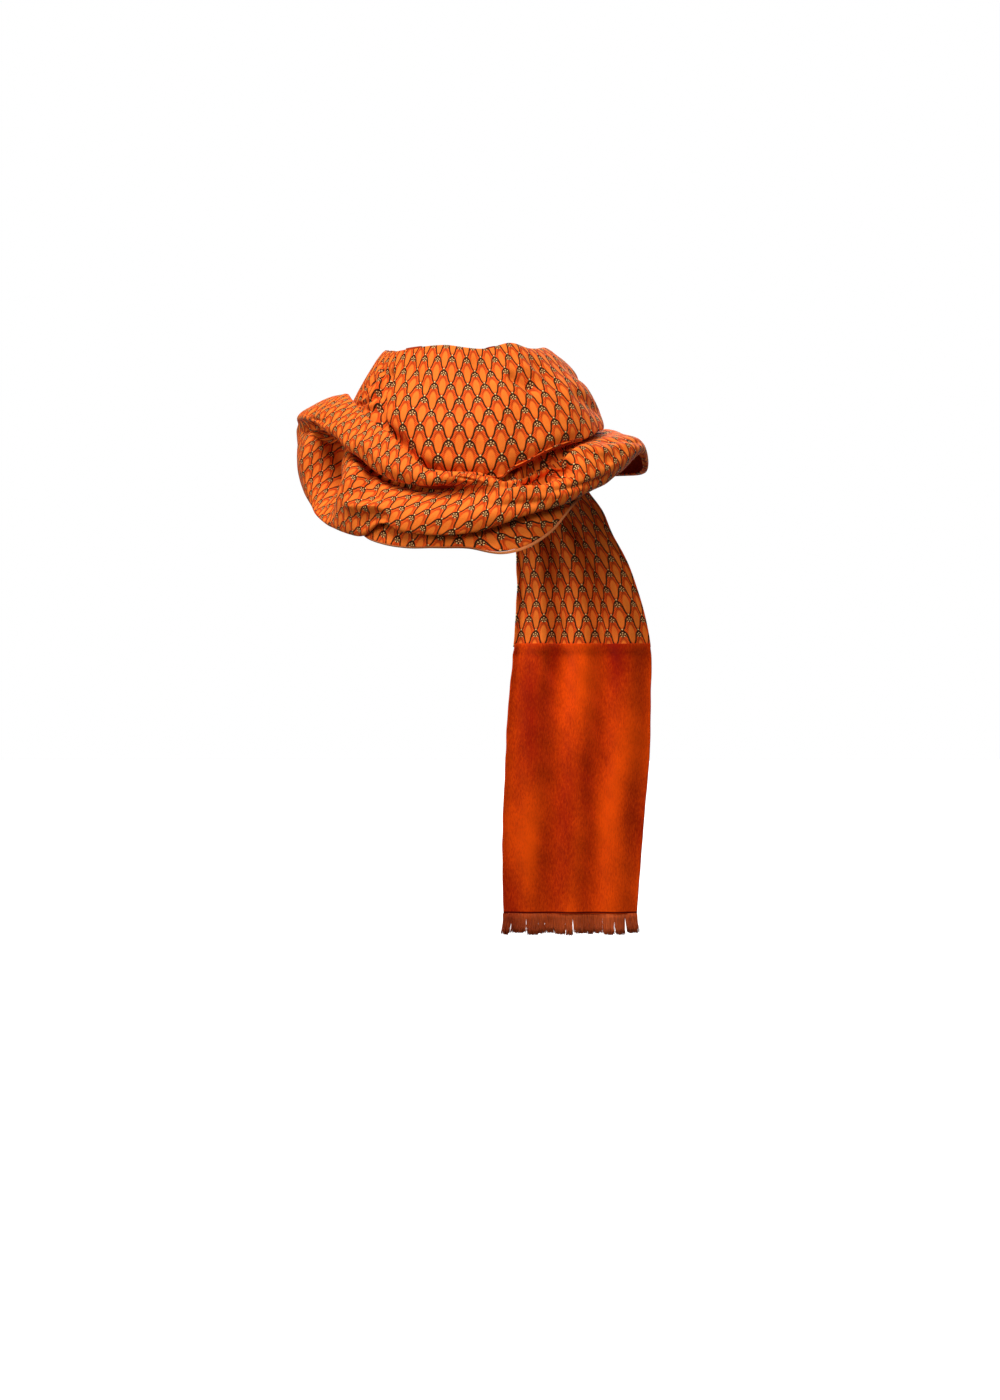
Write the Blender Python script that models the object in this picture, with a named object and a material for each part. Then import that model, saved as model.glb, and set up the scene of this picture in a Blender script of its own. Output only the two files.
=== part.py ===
"""Long scarf wound twice round the neck, with one fringed end hanging down the back.

Metres, +Z up. The origin is on the neck's axis where the neck meets the shoulders. -Y is the
wearer's front and +X the wearer's left. Azimuth is 0 at the front and grows towards +X, and a
section is a curve in the plane of one azimuth, given by its distance from the neck's axis (r)
and its height (z).
"""

import math

import bmesh
import bpy
import numpy as np

MM = 0.001
TURN = 360.0

CLOTH = 1.6 * MM  # printed cloth
END_CLOTH = 2.0 * MM  # plain woollen ends
SEAM_GAP = 0.3 * MM  # parts two pieces that are sewn together

# The upper turn. It stands round the neck as a cone, from its folded rim down to its foot.
COLLAR_COLUMNS = "azimuth rim_r rim_z upper_r upper_z lower_r lower_z foot_r foot_z"
COLLAR_ROWS = (
    (-165, 66, 84, 77, 62, 84, 35, 88, 9),
    (-120, 66, 82, 77, 63, 87, 38, 92, 14),
    (-92, 65, 79, 77, 62, 91, 40, 98, 22),
    (-64, 67, 74, 81, 54, 91, 34, 95.5, 18),
    (-50, 68, 73.5, 80, 50, 93, 23, 100.5, 1),
    (-34, 69, 75, 84, 47, 101, 14, 109, -16),
    (-10, 70, 74.5, 88, 44, 109, 7, 115, -40),
    (3, 70, 72, 89, 43, 110, 6, 115.5, -44),
    (15, 71, 72.5, 90.5, 44, 111, 6, 116.5, -44),
    (24, 71.5, 75, 92, 46, 112, 8, 119.5, -37),
    (38, 72, 78.5, 94.5, 49, 114, 14, 123.5, -22),
    (54, 73, 75, 98, 52, 116.5, 24, 126, -9),
    (76, 74, 79.5, 102, 55, 118, 33, 127, 6),
    (95, 74, 81, 104, 57, 117, 37, 124, 12),
    (122, 71, 83, 97, 60, 108, 38, 115, 18),
    (142, 69, 84, 87, 61, 97, 39, 103, 20.5),
    (152, 68, 84, 83, 62, 92, 40, 97, 19),
    (163, 67, 84, 79, 63, 86, 38, 90, 12),
)
COLLAR_HEM = (-2, -14)  # the rim's inner flap ends this far in and below it
COLLAR_TUCK = (-10, 4)  # and the foot's inner flap this far in and above it

# The lower turn. From its tucked top edge it rolls over a lip, folds back into a pocket and
# comes out again over a belly, down to a foot that turns under.
DRAPE_COLUMNS = (
    "azimuth tuck_r tuck_z lip_r lip_z roll_r roll_z under_r under_z "
    "pocket_r pocket_z shoulder_r shoulder_z belly_r belly_z foot_r foot_z"
)
DRAPE_ROWS = (
    (-160, 94, 13, 98, 25, 114, 19, 115, 10, 109, 4, 117, -3, 122, -17, 115, -36),
    (-128, 97, 21, 102, 34, 125, 27, 129, 16, 127, 8, 132, 0, 133, -18, 127, -38),
    (-104, 100, 26, 107, 38, 139, 27, 148, 17, 149, 6, 148, -6, 144, -22, 138, -40),
    (-90, 101, 23, 107, 36, 140, 24, 144, 17, 139, 7, 142, -2, 143, -24, 137, -44),
    (-78, 101, 18, 106, 36, 138, 20.5, 139, 15.5, 120, 8, 133, 4.5, 141, -25, 135, -53),
    (-72, 101, 17, 105, 36.5, 136, 18.5, 137, 13, 115, 5, 134, 3, 142, -29, 135.5, -60.5),
    (-66, 101.5, 16, 105, 36.5, 135, 16, 135, 10, 107, 2, 113, 0, 115, -35, 136, -68.5),
    (-61, 103, 12, 106.5, 32, 133.5, 12.5, 134, 5, 106, -4, 113, -5, 117, -41, 136.5, -73.5),
    (-57, 104.5, 8.5, 108, 28.5, 132, 9.5, 133, 0, 106, -9, 115, -10, 121, -46, 135, -77.5),
    (-53, 106, 5, 109.5, 24.5, 131, 7, 132, -4, 107, -14, 119, -15, 128, -50, 135, -80.5),
    (-48, 107.5, 0, 111.5, 17, 130, 0, 131, -13, 111, -22, 123, -23, 138, -55, 135.5, -85),
    (-43, 108.5, -3, 113, 11, 130, -6, 130.5, -20, 112, -29, 125.5, -29, 140, -59, 135, -88),
    (-36, 110, -8, 114, 4, 130, -14, 128.5, -31, 112, -38, 124.5, -42, 139, -66, 135, -90),
    (-29, 112.5, -16, 117, -4, 130, -24, 127, -39.5, 111, -43, 124, -50, 138, -67, 136.5, -81),
    (-20, 115, -38, 119, -22, 129, -34, 127, -46, 108, -47, 123, -55, 138, -73, 137, -87),
    (-11, 119, -42, 122.5, -35, 129, -41, 127, -48.5, 107, -50, 123, -59, 138, -75, 137, -91),
    (0, 119.5, -41, 123.5, -37, 129.5, -41, 128, -46, 112, -50, 125, -60, 138, -75, 137, -90.5),
    (7, 119.5, -43, 124, -39, 131, -43, 131, -47, 122, -52, 131, -61, 139, -74, 137, -88),
    (14, 118, -43, 123, -41, 130, -45, 131.5, -50, 133, -54.5, 137, -62, 139.5, -71, 137.5, -83),
    (19, 114, -47, 121, -45.5, 126.5, -46.5, 128, -51, 134, -52, 138, -59, 140, -68, 138, -79),
    (24, 110, -42, 116, -42.5, 121, -45, 123, -51, 135, -49.5, 138.5, -56, 140.5, -65, 138, -74.5),
    (34, 104, -22, 111, -31, 119, -37, 123, -46.5, 136, -46.5, 140, -52, 141.5, -59, 139, -67.5),
    (39, 103, -17, 112.5, -26.5, 121, -31.5, 125, -41, 137, -43, 141, -48.5, 142, -55, 139.5, -63),
    (44, 102, -12, 116, -21, 129, -25, 135, -34, 139.5, -39.5, 142, -45, 143, -51, 140, -59),
    (53, 102, -3, 118, -10.5, 131, -14, 139, -22, 143, -30, 145.5, -37, 145, -43, 140, -52),
    (64, 104, 3, 118, -4.5, 135, -6.5, 145, -12, 148, -20, 150, -26, 149, -33, 143, -41.5),
    (76, 105, 9, 119, 0, 140, -1, 151, -4, 156, -9, 157, -14, 155, -18, 150, -25.5),
    (88, 105, 13, 117, 4.5, 140, 5, 156, 1, 160, -3, 162, -6, 162.5, -9, 160, -12),
    (97, 104, 15, 114.5, 8, 138, 9.5, 156, 3, 162, -2, 165, -7, 167.5, -14, 167.5, -24),
    (104, 102.5, 16, 112, 10, 134, 12, 151, 6, 161, -1, 166, -8, 169, -17, 167, -27),
    (119, 98, 16, 107, 13, 126, 13.5, 138, 5, 142, -3, 147, -9, 149, -18, 143, -28),
    (138, 85, 11, 99, 13, 115, 15, 125, 8, 121, 0, 129, -6, 132, -19, 126, -35),
    (150, 84, 11, 98, 14.5, 112, 17, 119, 9, 114, 3, 122, -4, 126, -18, 120, -36),
    (165, 93, 10, 98, 22, 112, 19, 115, 10, 109, 4, 117, -3, 122, -17, 115, -36),
)
DRAPE_TUCK = (-4.5, 1)

# The first turn's lower part, of which the free edge shows below the lower turn at the front.
UNDER_COLUMNS = "azimuth top_r top_z middle_r middle_z edge_r edge_z"
UNDER_ROWS = (
    (-43, 121, -58, 124.5, -73, 126.5, -83),
    (-37, 121.5, -60, 127.5, -78, 131, -91.5),
    (-30, 122, -62, 129, -81, 132.5, -97),
    (-20, 121.5, -64, 129, -83, 132.5, -101),
    (-8, 121, -65, 127.5, -84, 132, -101.5),
    (4, 121, -65, 127.5, -84, 132, -102),
    (16, 122, -65, 128.5, -85, 133, -107),
    (24, 123, -60, 129.5, -80, 133, -103),
    (36, 123, -52, 130, -69, 132.5, -88.5),
    (49, 124, -40, 129.5, -50, 132, -62),
    (62, 128, -24, 132, -31, 134, -37),
)
# How much of the plain back shows past the printed cloth's edge, along that edge.
SHOWN_COLUMNS = "azimuth width"
SHOWN_ROWS = ((-43, 1), (6, 1), (20, 2.6), (62, 2.6))

# Soft troughs in the turns. A level is the share of the way down a section, each span alike.
FOLD_COLUMNS = "from_azimuth from_level to_azimuth to_level depth width"
COLLAR_FOLDS = (
    (-54, 0.42, -44, 0.72, 5, 6),
    (-33, 0.68, 8, 0.69, 3, 6),
    (34, 0.38, 40, 0.44, 3, 6),
    (118, 0.56, 205, 0.48, 4, 8),
    (165, 0.68, 236, 0.60, 4, 7),
    (-132, 0.34, -98, 0.42, 3, 7),
)
DRAPE_FOLDS = (
    (-69, 0.60, -65, 0.71, 12, 7),
    (112, 0.36, 160, 0.30, 4, 5),
    (146, 0.74, 214, 0.80, 4, 6),
)

# The end that hangs down the back: where its cloth lies at each height, in millimetres. It
# leaves the turns as an arc about the neck's axis and flattens on its way down the back.
TAIL_COLUMNS = "z left_x left_y right_x right_y bow pleat"
TAIL_ROWS = (
    (-22, 34, 99, 108, 46, 13, 0),
    (-34, 35, 101, 111, 48, 13, 0.5),
    (-50, 38, 108, 122, 58, 13, 2),
    (-75, 46, 118, 137, 78, 10, 5),
    (-110, 50, 120, 155, 97, 6, 6.5),
    (-145, 50, 119, 167, 107, 3, 6.5),
    (-179, 47, 117, 174, 110, 1, 6),
    (-225, 43, 114, 174, 110, 0, 5),
    (-275, 40, 111, 173, 109, 0, 4.5),
    (-330, 38, 109, 168.5, 109, 0, 4),
    (-385, 37, 109, 164, 109, 0, 3.5),
    (-425, 38, 109, 161, 109, 0, 3),
)
TAIL_SEAM = -179 * MM
TAIL_HEM = -425 * MM
TAIL_PLEATS = 3.2
PLEAT_START = 0.1  # of a pleat, where the wearer's right edge lies

FRINGE_STRIP = 3 * MM
FRINGE_LOCKS = 54
LOCK_SHARE = 0.74  # of the pitch between two locks
LOCK_LENGTH = 16.5 * MM
LOCK_TIP = 0.45  # of the lock's root
CLUMPS = 6  # in which the locks hang longer towards the middle
CLUMP_DROP = 2.4 * MM

# How finely each cloth is divided: to each span of a section, and round the neck or across.
COLLAR_STEPS = 3
DRAPE_STEPS = 2
UNDER_STEPS = 5
COLLAR_COUNT = 54
DRAPE_COUNT = 80
UNDER_COUNT = 34
LIP_COLUMNS = 3
TAIL_ACROSS = 24
TAIL_ROW = 17 * MM


def table(columns, rows):
    """A dict from each column's name to its values, with lengths still in millimetres."""
    names = columns.split()
    values = np.array(rows, float)
    return {name: values[:, i] for i, name in enumerate(names)}


def through(knots, values, at, period=None):
    """The smooth curve through values at knots, read at `at`. It closes on itself after period."""
    if period:
        knots = np.concatenate([knots[-2:] - period, knots, knots[:2] + period])
        values = np.concatenate([values[-2:], values, values[:2]])
    slopes = np.gradient(values, knots, axis=0)
    i = np.clip(np.searchsorted(knots, at, side="right") - 1, 0, len(knots) - 2)
    step = knots[i + 1] - knots[i]
    t = (at - knots[i]) / step
    if values.ndim > 1:
        shape = (-1,) + (1,) * (values.ndim - 1)
        step, t = step.reshape(shape), t.reshape(shape)
    return (
        values[i] * (1 + 2 * t) * (1 - t) ** 2
        + values[i + 1] * t * t * (3 - 2 * t)
        + step * t * (1 - t) * (slopes[i] * (1 - t) - slopes[i + 1] * t)
    )


def section_curve(corners, steps):
    """Points along the smooth curve through a section's corners, `steps` to each span."""
    spans = np.linalg.norm(np.diff(corners, axis=0), axis=1) ** 0.5
    knots = np.concatenate([[0], np.cumsum(spans)])
    whole = np.arange(len(knots))
    at = np.interp(np.linspace(0, len(knots) - 1, (len(knots) - 1) * steps + 1), whole, knots)
    return through(knots, corners, at)


def sections(rows, rails, azimuths, period=None):
    """The corners of each azimuth's section, read smoothly from the rows: azimuth x rail x (r, z)."""
    corners = np.stack([np.stack([rows[rail + "_r"], rows[rail + "_z"]], axis=1) for rail in rails], axis=1)
    return through(rows["azimuth"], corners, azimuths, period)


def with_flap(corners, flap, at_end):
    """The corners with one more, `flap` away from the first or the last."""
    end = corners[:, -1:] if at_end else corners[:, :1]
    more = end + np.array(flap, float)
    return np.concatenate([corners, more] if at_end else [more, corners], axis=1)


def around(azimuths, curves):
    """Section curves in millimetres, turned to their azimuths: azimuth x point x (x, y, z) in metres."""
    angle = np.radians(azimuths)[:, None]
    r, z = curves[:, :, 0] * MM, curves[:, :, 1] * MM
    return np.stack([r * np.sin(angle), -r * np.cos(angle), z], axis=2)


def grid_normals(points, closed):
    """The outward normal at each point of a grid whose rows run round the neck and columns down."""
    if closed:
        along = np.roll(points, -1, axis=0) - np.roll(points, 1, axis=0)
    else:
        along = np.gradient(points, axis=0)
    down = np.gradient(points, axis=1)
    normals = np.cross(down, along)
    return normals / np.linalg.norm(normals, axis=2, keepdims=True)


def pressed(points, azimuths, folds, closed):
    """The grid with a soft trough along each row of folds, deepest in its middle."""
    rows = table(FOLD_COLUMNS, folds)
    level = np.linspace(0, 1, points.shape[1])[None, :]
    size = np.linalg.norm(np.diff(points, axis=1), axis=2).sum(axis=1).mean()
    reach = np.linalg.norm(points[:, :, :2], axis=2).mean()
    depth = np.zeros(points.shape[:2])
    for k in range(len(folds)):
        start = np.array([rows["from_azimuth"][k], rows["from_level"][k]])
        end = np.array([rows["to_azimuth"][k], rows["to_level"][k]])
        scale = np.array([math.radians(1) * reach, size])
        way = (end - start) * scale
        swing = (azimuths[:, None] - start[0] + TURN / 2) % TURN - TURN / 2
        offset = np.stack(np.broadcast_arrays(swing * scale[0], (level - start[1]) * scale[1]), axis=2)
        t = np.clip(offset @ way / (way @ way), 0, 1)
        away = np.linalg.norm(offset - t[:, :, None] * way, axis=2)
        width = rows["width"][k] * MM
        depth += rows["depth"][k] * MM * np.exp(-((away / width) ** 2))
    return points - depth[:, :, None] * grid_normals(points, closed)


def mesh_object(name, mesh, finish):
    """An object of its own from a bmesh, shaded smooth."""
    data = bpy.data.meshes.new(name)
    mesh.to_mesh(data)
    mesh.free()
    data.shade_smooth()
    data.materials.append(finish)
    made = bpy.data.objects.new(name, data)
    bpy.context.scene.collection.objects.link(made)
    return made


def cloth_object(name, points, thickness, finish, closed=False):
    """A sheet through a grid of outer points, made a wall towards the neck."""
    count, columns = points.shape[:2]
    mesh = bmesh.new()
    verts = [[mesh.verts.new(point) for point in row] for row in points]
    for i in range(count if closed else count - 1):
        here, after = verts[i], verts[(i + 1) % count]
        for j in range(columns - 1):
            mesh.faces.new((here[j], here[j + 1], after[j + 1], after[j]))
    made = mesh_object(name, mesh, finish)
    wall = made.modifiers.new("wall", "SOLIDIFY")
    wall.thickness = thickness
    wall.offset = -1
    return made


def material(name, colour, roughness):
    """A plain cloth finish."""
    made = bpy.data.materials.new(name)
    made.use_nodes = True
    shader = made.node_tree.nodes["Principled BSDF"]
    shader.inputs["Base Color"].default_value = (*colour, 1)
    shader.inputs["Roughness"].default_value = roughness
    return made


def turn(rows, rails, flaps, count, steps):
    """A closed turn's azimuths and outer points. flaps are its hidden ends: before and after."""
    azimuths = np.linspace(-TURN / 2, TURN / 2, count, endpoint=False)
    corners = sections(rows, rails, azimuths, TURN)
    for flap, at_end in zip(flaps, (False, True)):
        if flap:
            corners = with_flap(corners, flap, at_end)
    curves = np.stack([section_curve(corner, steps) for corner in corners])
    return azimuths, around(azimuths, curves)


def collar_wrap(finish):
    rows = table(COLLAR_COLUMNS, COLLAR_ROWS)
    rails = ("rim", "upper", "lower", "foot")
    azimuths, points = turn(rows, rails, (COLLAR_HEM, COLLAR_TUCK), COLLAR_COUNT, COLLAR_STEPS)
    points = pressed(points, azimuths, COLLAR_FOLDS, True)
    return cloth_object("collar_wrap", points, CLOTH, finish, closed=True)


def front_drape(finish):
    rows = table(DRAPE_COLUMNS, DRAPE_ROWS)
    rails = ("tuck", "lip", "roll", "under", "pocket", "shoulder", "belly", "foot")
    azimuths, points = turn(rows, rails, (None, DRAPE_TUCK), DRAPE_COUNT, DRAPE_STEPS)
    points = pressed(points, azimuths, DRAPE_FOLDS, True)
    return cloth_object("front_drape", points, CLOTH, finish, closed=True)


def cut_along(points, begins, ends, columns):
    """Each row of a grid between two distances short of its end, divided evenly."""
    made = []
    for row, begin, end in zip(points, begins, ends):
        run = np.concatenate([[0], np.cumsum(np.linalg.norm(np.diff(row, axis=0), axis=1))])
        at = np.linspace(max(0, run[-1] - begin), run[-1] - end, columns)
        made.append(np.stack([np.interp(at, run, row[:, i]) for i in range(3)], axis=1))
    return np.array(made)


def under_turn(finish, lip_finish):
    """The first turn's lower part and, past its edge, the plain back's lip."""
    rows = table(UNDER_COLUMNS, UNDER_ROWS)
    azimuths = np.linspace(rows["azimuth"][0], rows["azimuth"][-1], UNDER_COUNT)
    corners = sections(rows, ("top", "middle", "edge"), azimuths)
    curves = np.stack([section_curve(corner, UNDER_STEPS) for corner in corners])
    points = around(azimuths, curves)
    shown = table(SHOWN_COLUMNS, SHOWN_ROWS)
    width = np.interp(azimuths, shown["azimuth"], shown["width"]) * MM
    printed = cut_along(points, np.full(UNDER_COUNT, math.inf), width + SEAM_GAP, UNDER_STEPS + 1)
    lip = cut_along(points, width, np.zeros(UNDER_COUNT), LIP_COLUMNS)
    cloth_object("under_turn", printed, CLOTH, finish)
    cloth_object("wool_edge", lip, CLOTH, lip_finish)


def tail_point(z, across):
    """The tail's outer face at a height, as a share of its width from the wearer's right."""
    rows = table(TAIL_COLUMNS, TAIL_ROWS[::-1])
    height = np.array([z / MM])
    left_x, left_y, right_x, right_y, bow, pleat = (
        through(rows["z"], rows[name], height)[0] for name in TAIL_COLUMNS.split()[1:]
    )
    x = left_x + (right_x - left_x) * across
    y = left_y + (right_y - left_y) * across + 4 * bow * across * (1 - across)
    y += pleat * math.sin(2 * math.pi * (TAIL_PLEATS * across + PLEAT_START))
    return np.array((x * MM, y * MM, z))


def tail_cloth(name, top, foot, thickness, finish):
    """A stretch of the tail between two heights."""
    across = np.linspace(1, 0, TAIL_ACROSS + 1)
    heights = np.linspace(top, foot, round((top - foot) / TAIL_ROW) + 1)
    points = np.array([[tail_point(z, share) for z in heights] for share in across])
    return cloth_object(name, points, thickness, finish)


def lock_drop(share):
    """How far a lock hangs, by its place across the tail."""
    place = share * CLUMPS % 1
    return LOCK_LENGTH + CLUMP_DROP * math.sin(math.pi * place)


def tail_fringe(finish):
    """Tapering locks drawn down from every other stretch of a strip below the hem."""
    top = TAIL_HEM - SEAM_GAP
    foot = top - FRINGE_STRIP
    inward = np.array((0, -END_CLOTH, 0))
    pitch = 1 / (FRINGE_LOCKS - 1 + LOCK_SHARE)
    shares = [
        pitch * (lock + side) for lock in range(FRINGE_LOCKS) for side in (0, LOCK_SHARE)
    ]
    mesh = bmesh.new()
    rings = []
    for share in shares:
        outer = [tail_point(z, share) for z in (top, foot)]
        corners = (outer[0], outer[1], outer[1] + inward, outer[0] + inward)
        rings.append([mesh.verts.new(corner) for corner in corners])
    roots = []
    for i, (here, after) in enumerate(zip(rings, rings[1:])):
        sides = [
            mesh.faces.new((after[j], here[j], here[(j + 1) % 4], after[(j + 1) % 4]))
            for j in range(4)
        ]
        if i % 2 == 0:
            roots.append((sides[1], (shares[i] + shares[i + 1]) / 2))
    mesh.faces.new(rings[0])
    mesh.faces.new(rings[-1][::-1])
    for root, share in roots:
        for step in (1, 2):
            drawn = bmesh.ops.extrude_discrete_faces(mesh, faces=[root])["faces"][0]
            middle = drawn.calc_center_median()
            size = 1 - (1 - LOCK_TIP) * step / 2
            size /= 1 - (1 - LOCK_TIP) * (step - 1) / 2
            for vert in drawn.verts:
                vert.co = middle + (vert.co - middle) * size
                vert.co.z -= lock_drop(share) / 2
            root = drawn
    bmesh.ops.recalc_face_normals(mesh, faces=mesh.faces)
    return mesh_object("tail_fringe", mesh, finish)


def main():
    for obj in list(bpy.data.objects):
        bpy.data.objects.remove(obj)
    printed = material("printed_cloth", (0.80, 0.26, 0.07), 0.6)
    plain = material("plain_wool", (0.62, 0.12, 0.01), 0.85)
    lip = material("wool_lip", (0.78, 0.36, 0.20), 0.9)
    fringe = material("fringe_wool", (0.62, 0.26, 0.12), 0.9)
    collar_wrap(printed)
    front_drape(printed)
    under_turn(printed, lip)
    seam = SEAM_GAP / 2
    tail_cloth("tail_printed", TAIL_ROWS[0][0] * MM, TAIL_SEAM + seam, CLOTH, printed)
    tail_cloth("tail_plain", TAIL_SEAM - seam, TAIL_HEM, END_CLOTH, plain)
    tail_fringe(fringe)


main()
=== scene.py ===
import math

import bpy
import numpy as np
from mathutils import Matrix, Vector


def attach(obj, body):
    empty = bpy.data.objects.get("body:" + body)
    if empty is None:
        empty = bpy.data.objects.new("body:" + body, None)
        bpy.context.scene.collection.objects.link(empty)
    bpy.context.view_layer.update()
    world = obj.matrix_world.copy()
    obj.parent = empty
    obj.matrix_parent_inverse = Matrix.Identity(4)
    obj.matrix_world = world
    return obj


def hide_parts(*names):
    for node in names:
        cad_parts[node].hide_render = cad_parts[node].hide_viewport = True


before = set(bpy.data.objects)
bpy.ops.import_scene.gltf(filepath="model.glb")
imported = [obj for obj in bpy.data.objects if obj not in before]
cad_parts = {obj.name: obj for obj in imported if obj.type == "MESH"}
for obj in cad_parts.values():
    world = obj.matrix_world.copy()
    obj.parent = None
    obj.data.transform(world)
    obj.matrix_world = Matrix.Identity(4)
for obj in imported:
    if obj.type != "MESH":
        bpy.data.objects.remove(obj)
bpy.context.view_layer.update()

MM = 0.001
TURN = 360.0

PRINT_WALL = 1.3 * MM
END_WALL = 1.8 * MM
LIP_WALL = 1.6 * MM
SEAM_GAP = 0.3 * MM
EDGE_ROUND = 0.35  # of the wall
EDGE_ANGLE = 60

# The sections have the same sizes as the solids have, in millimetres and degrees.
COLLAR_COLUMNS = "azimuth rim_r rim_z upper_r upper_z lower_r lower_z foot_r foot_z"
COLLAR_ROWS = (
    (-165, 66, 84, 77, 62, 84, 35, 88, 9),
    (-120, 66, 82, 77, 63, 87, 38, 92, 14),
    (-92, 65, 79, 77, 62, 91, 40, 98, 22),
    (-64, 67, 74, 81, 54, 91, 34, 95.5, 18),
    (-50, 68, 73.5, 80, 50, 93, 23, 100.5, 1),
    (-34, 69, 75, 84, 47, 101, 14, 109, -16),
    (-10, 70, 74.5, 88, 44, 109, 7, 115, -40),
    (3, 70, 72, 89, 43, 110, 6, 115.5, -44),
    (15, 71, 72.5, 90.5, 44, 111, 6, 116.5, -44),
    (24, 71.5, 75, 92, 46, 112, 8, 119.5, -37),
    (38, 72, 78.5, 94.5, 49, 114, 14, 123.5, -22),
    (54, 73, 75, 98, 52, 116.5, 24, 126, -9),
    (76, 74, 79.5, 102, 55, 118, 33, 127, 6),
    (95, 74, 81, 104, 57, 117, 37, 124, 12),
    (122, 71, 83, 97, 60, 108, 38, 115, 18),
    (142, 69, 84, 87, 61, 97, 39, 103, 20.5),
    (152, 68, 84, 83, 62, 92, 40, 97, 19),
    (163, 67, 84, 79, 63, 86, 38, 90, 12),
)
COLLAR_HEM = (-2, -14)
COLLAR_TUCK = (-10, 4)
COLLAR_RAILS = ("rim", "upper", "lower", "foot")

DRAPE_COLUMNS = (
    "azimuth tuck_r tuck_z lip_r lip_z roll_r roll_z under_r under_z "
    "pocket_r pocket_z shoulder_r shoulder_z belly_r belly_z foot_r foot_z"
)
DRAPE_ROWS = (
    (-160, 94, 13, 98, 25, 114, 19, 115, 10, 109, 4, 117, -3, 122, -17, 115, -36),
    (-128, 97, 21, 102, 34, 125, 27, 129, 16, 127, 8, 132, 0, 133, -18, 127, -38),
    (-104, 100, 26, 107, 38, 139, 27, 148, 17, 149, 6, 148, -6, 144, -22, 138, -40),
    (-90, 101, 23, 107, 36, 140, 24, 144, 17, 139, 7, 142, -2, 143, -24, 137, -44),
    (-78, 101, 18, 106, 36, 138, 20.5, 139, 15.5, 120, 8, 133, 4.5, 141, -25, 135, -53),
    (-72, 101, 17, 105, 36.5, 136, 18.5, 137, 13, 115, 5, 134, 3, 142, -29, 135.5, -60.5),
    (-66, 101.5, 16, 105, 36.5, 135, 16, 135, 10, 107, 2, 113, 0, 115, -35, 136, -68.5),
    (-61, 103, 12, 106.5, 32, 133.5, 12.5, 134, 5, 106, -4, 113, -5, 117, -41, 136.5, -73.5),
    (-57, 104.5, 8.5, 108, 28.5, 132, 9.5, 133, 0, 106, -9, 115, -10, 121, -46, 135, -77.5),
    (-53, 106, 5, 109.5, 24.5, 131, 7, 132, -4, 107, -14, 119, -15, 128, -50, 135, -80.5),
    (-48, 107.5, 0, 111.5, 17, 130, 0, 131, -13, 111, -22, 123, -23, 138, -55, 135.5, -85),
    (-43, 108.5, -3, 113, 11, 130, -6, 130.5, -20, 112, -29, 125.5, -29, 140, -59, 135, -88),
    (-36, 110, -8, 114, 4, 130, -14, 128.5, -31, 112, -38, 124.5, -42, 139, -66, 135, -90),
    (-29, 112.5, -16, 117, -4, 130, -24, 127, -39.5, 111, -43, 124, -50, 138, -67, 136.5, -81),
    (-20, 115, -38, 119, -22, 129, -34, 127, -46, 108, -47, 123, -55, 138, -73, 137, -87),
    (-11, 119, -42, 122.5, -35, 129, -41, 127, -48.5, 107, -50, 123, -59, 138, -75, 137, -91),
    (0, 119.5, -41, 123.5, -37, 129.5, -41, 128, -46, 112, -50, 125, -60, 138, -75, 137, -90.5),
    (7, 119.5, -43, 124, -39, 131, -43, 131, -47, 122, -52, 131, -61, 139, -74, 137, -88),
    (14, 118, -43, 123, -41, 130, -45, 131.5, -50, 133, -54.5, 137, -62, 139.5, -71, 137.5, -83),
    (19, 114, -47, 121, -45.5, 126.5, -46.5, 128, -51, 134, -52, 138, -59, 140, -68, 138, -79),
    (24, 110, -42, 116, -42.5, 121, -45, 123, -51, 135, -49.5, 138.5, -56, 140.5, -65, 138, -74.5),
    (34, 104, -22, 111, -31, 119, -37, 123, -46.5, 136, -46.5, 140, -52, 141.5, -59, 139, -67.5),
    (39, 103, -17, 112.5, -26.5, 121, -31.5, 125, -41, 137, -43, 141, -48.5, 142, -55, 139.5, -63),
    (44, 102, -12, 116, -21, 129, -25, 135, -34, 139.5, -39.5, 142, -45, 143, -51, 140, -59),
    (53, 102, -3, 118, -10.5, 131, -14, 139, -22, 143, -30, 145.5, -37, 145, -43, 140, -52),
    (64, 104, 3, 118, -4.5, 135, -6.5, 145, -12, 148, -20, 150, -26, 149, -33, 143, -41.5),
    (76, 105, 9, 119, 0, 140, -1, 151, -4, 156, -9, 157, -14, 155, -18, 150, -25.5),
    (88, 105, 13, 117, 4.5, 140, 5, 156, 1, 160, -3, 162, -6, 162.5, -9, 160, -12),
    (97, 104, 15, 114.5, 8, 138, 9.5, 156, 3, 162, -2, 165, -7, 167.5, -14, 167.5, -24),
    (104, 102.5, 16, 112, 10, 134, 12, 151, 6, 161, -1, 166, -8, 169, -17, 167, -27),
    (119, 98, 16, 107, 13, 126, 13.5, 138, 5, 142, -3, 147, -9, 149, -18, 143, -28),
    (138, 85, 11, 99, 13, 115, 15, 125, 8, 121, 0, 129, -6, 132, -19, 126, -35),
    (150, 84, 11, 98, 14.5, 112, 17, 119, 9, 114, 3, 122, -4, 126, -18, 120, -36),
    (165, 93, 10, 98, 22, 112, 19, 115, 10, 109, 4, 117, -3, 122, -17, 115, -36),
)
DRAPE_TUCK = (-4.5, 1)
DRAPE_RAILS = ("tuck", "lip", "roll", "under", "pocket", "shoulder", "belly", "foot")
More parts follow.
